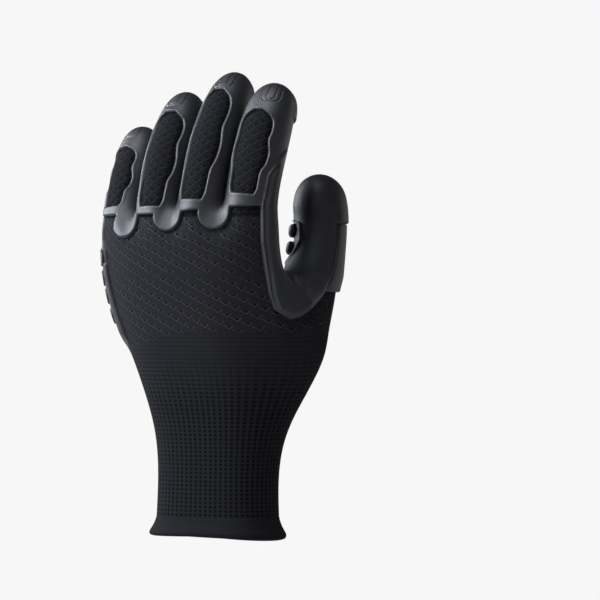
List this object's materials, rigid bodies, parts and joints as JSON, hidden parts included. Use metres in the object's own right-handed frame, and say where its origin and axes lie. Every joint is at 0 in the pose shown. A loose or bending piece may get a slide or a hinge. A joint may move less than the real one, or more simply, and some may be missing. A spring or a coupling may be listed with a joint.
{
  "type": "impact glove",
  "caption": "Left-hand knitted work glove with a moulded rubber coat, damping ribs and pads on palm and fingers, and a raised guard beside the thumb.",
  "frame": {"origin": "middle of the wrist opening, level with the lower edge of the hem", "axes": "+Z to the fingertips, +X to the thumb's side, -Y out of the back of the hand"},
  "size_m": [0.1277, 0.0929, 0.2556],
  "materials": {
    "knit": "fine black seamless knit",
    "hem": "elastic knit, rolled",
    "coat": "matt black",
    "moulding": "satin black, fine grain",
    "damper": "satin black, fine grain"
  },
  "bodies": {
    "root": {"cuff_hem": "hem", "liner_cuff": "knit", "liner_hand": "knit", "liner_little": "knit", "liner_ring": "knit", "liner_middle": "knit", "liner_index": "knit", "liner_thumb": "knit", "rubber_coat": "coat", "web_guard": "moulding", "thumb_cap": "moulding", "thumb_panel": "moulding", "little_tip_pad": "moulding", "ring_tip_pad": "moulding", "middle_tip_pad": "moulding", "index_tip_pad": "moulding", "little_rib_1": "damper", "little_rib_2": "damper", "little_rib_3": "damper", "little_rib_4": "damper", "ring_rib_1": "damper", "ring_rib_2": "damper", "ring_rib_3": "damper", "ring_rib_4": "damper", "ring_rib_5": "damper", "middle_rib_1": "damper", "middle_rib_2": "damper", "middle_rib_3": "damper", "middle_rib_4": "damper", "middle_rib_5": "damper", "index_rib_1": "damper", "index_rib_2": "damper", "index_rib_3": "damper", "index_rib_4": "damper", "index_rib_5": "damper", "thumb_rib_1": "damper", "thumb_rib_2": "damper", "palm_pad_1": "damper", "palm_pad_2": "damper", "palm_pad_3": "damper", "palm_pad_4": "damper", "palm_pad_5": "damper", "palm_pad_6": "damper", "palm_pad_7": "damper", "palm_pad_8": "damper", "palm_pad_9": "damper", "palm_pad_10": "damper", "palm_pad_11": "damper", "palm_pad_12": "damper", "thenar_pad_1": "damper", "thenar_pad_2": "damper", "thenar_pad_3": "damper", "thenar_pad_4": "damper", "thenar_pad_5": "damper", "thenar_pad_6": "damper", "thenar_pad_7": "damper", "thenar_pad_8": "damper", "thenar_pad_9": "damper", "web_pad_1": "damper", "web_pad_2": "damper"}
  },
  "joints": []
}
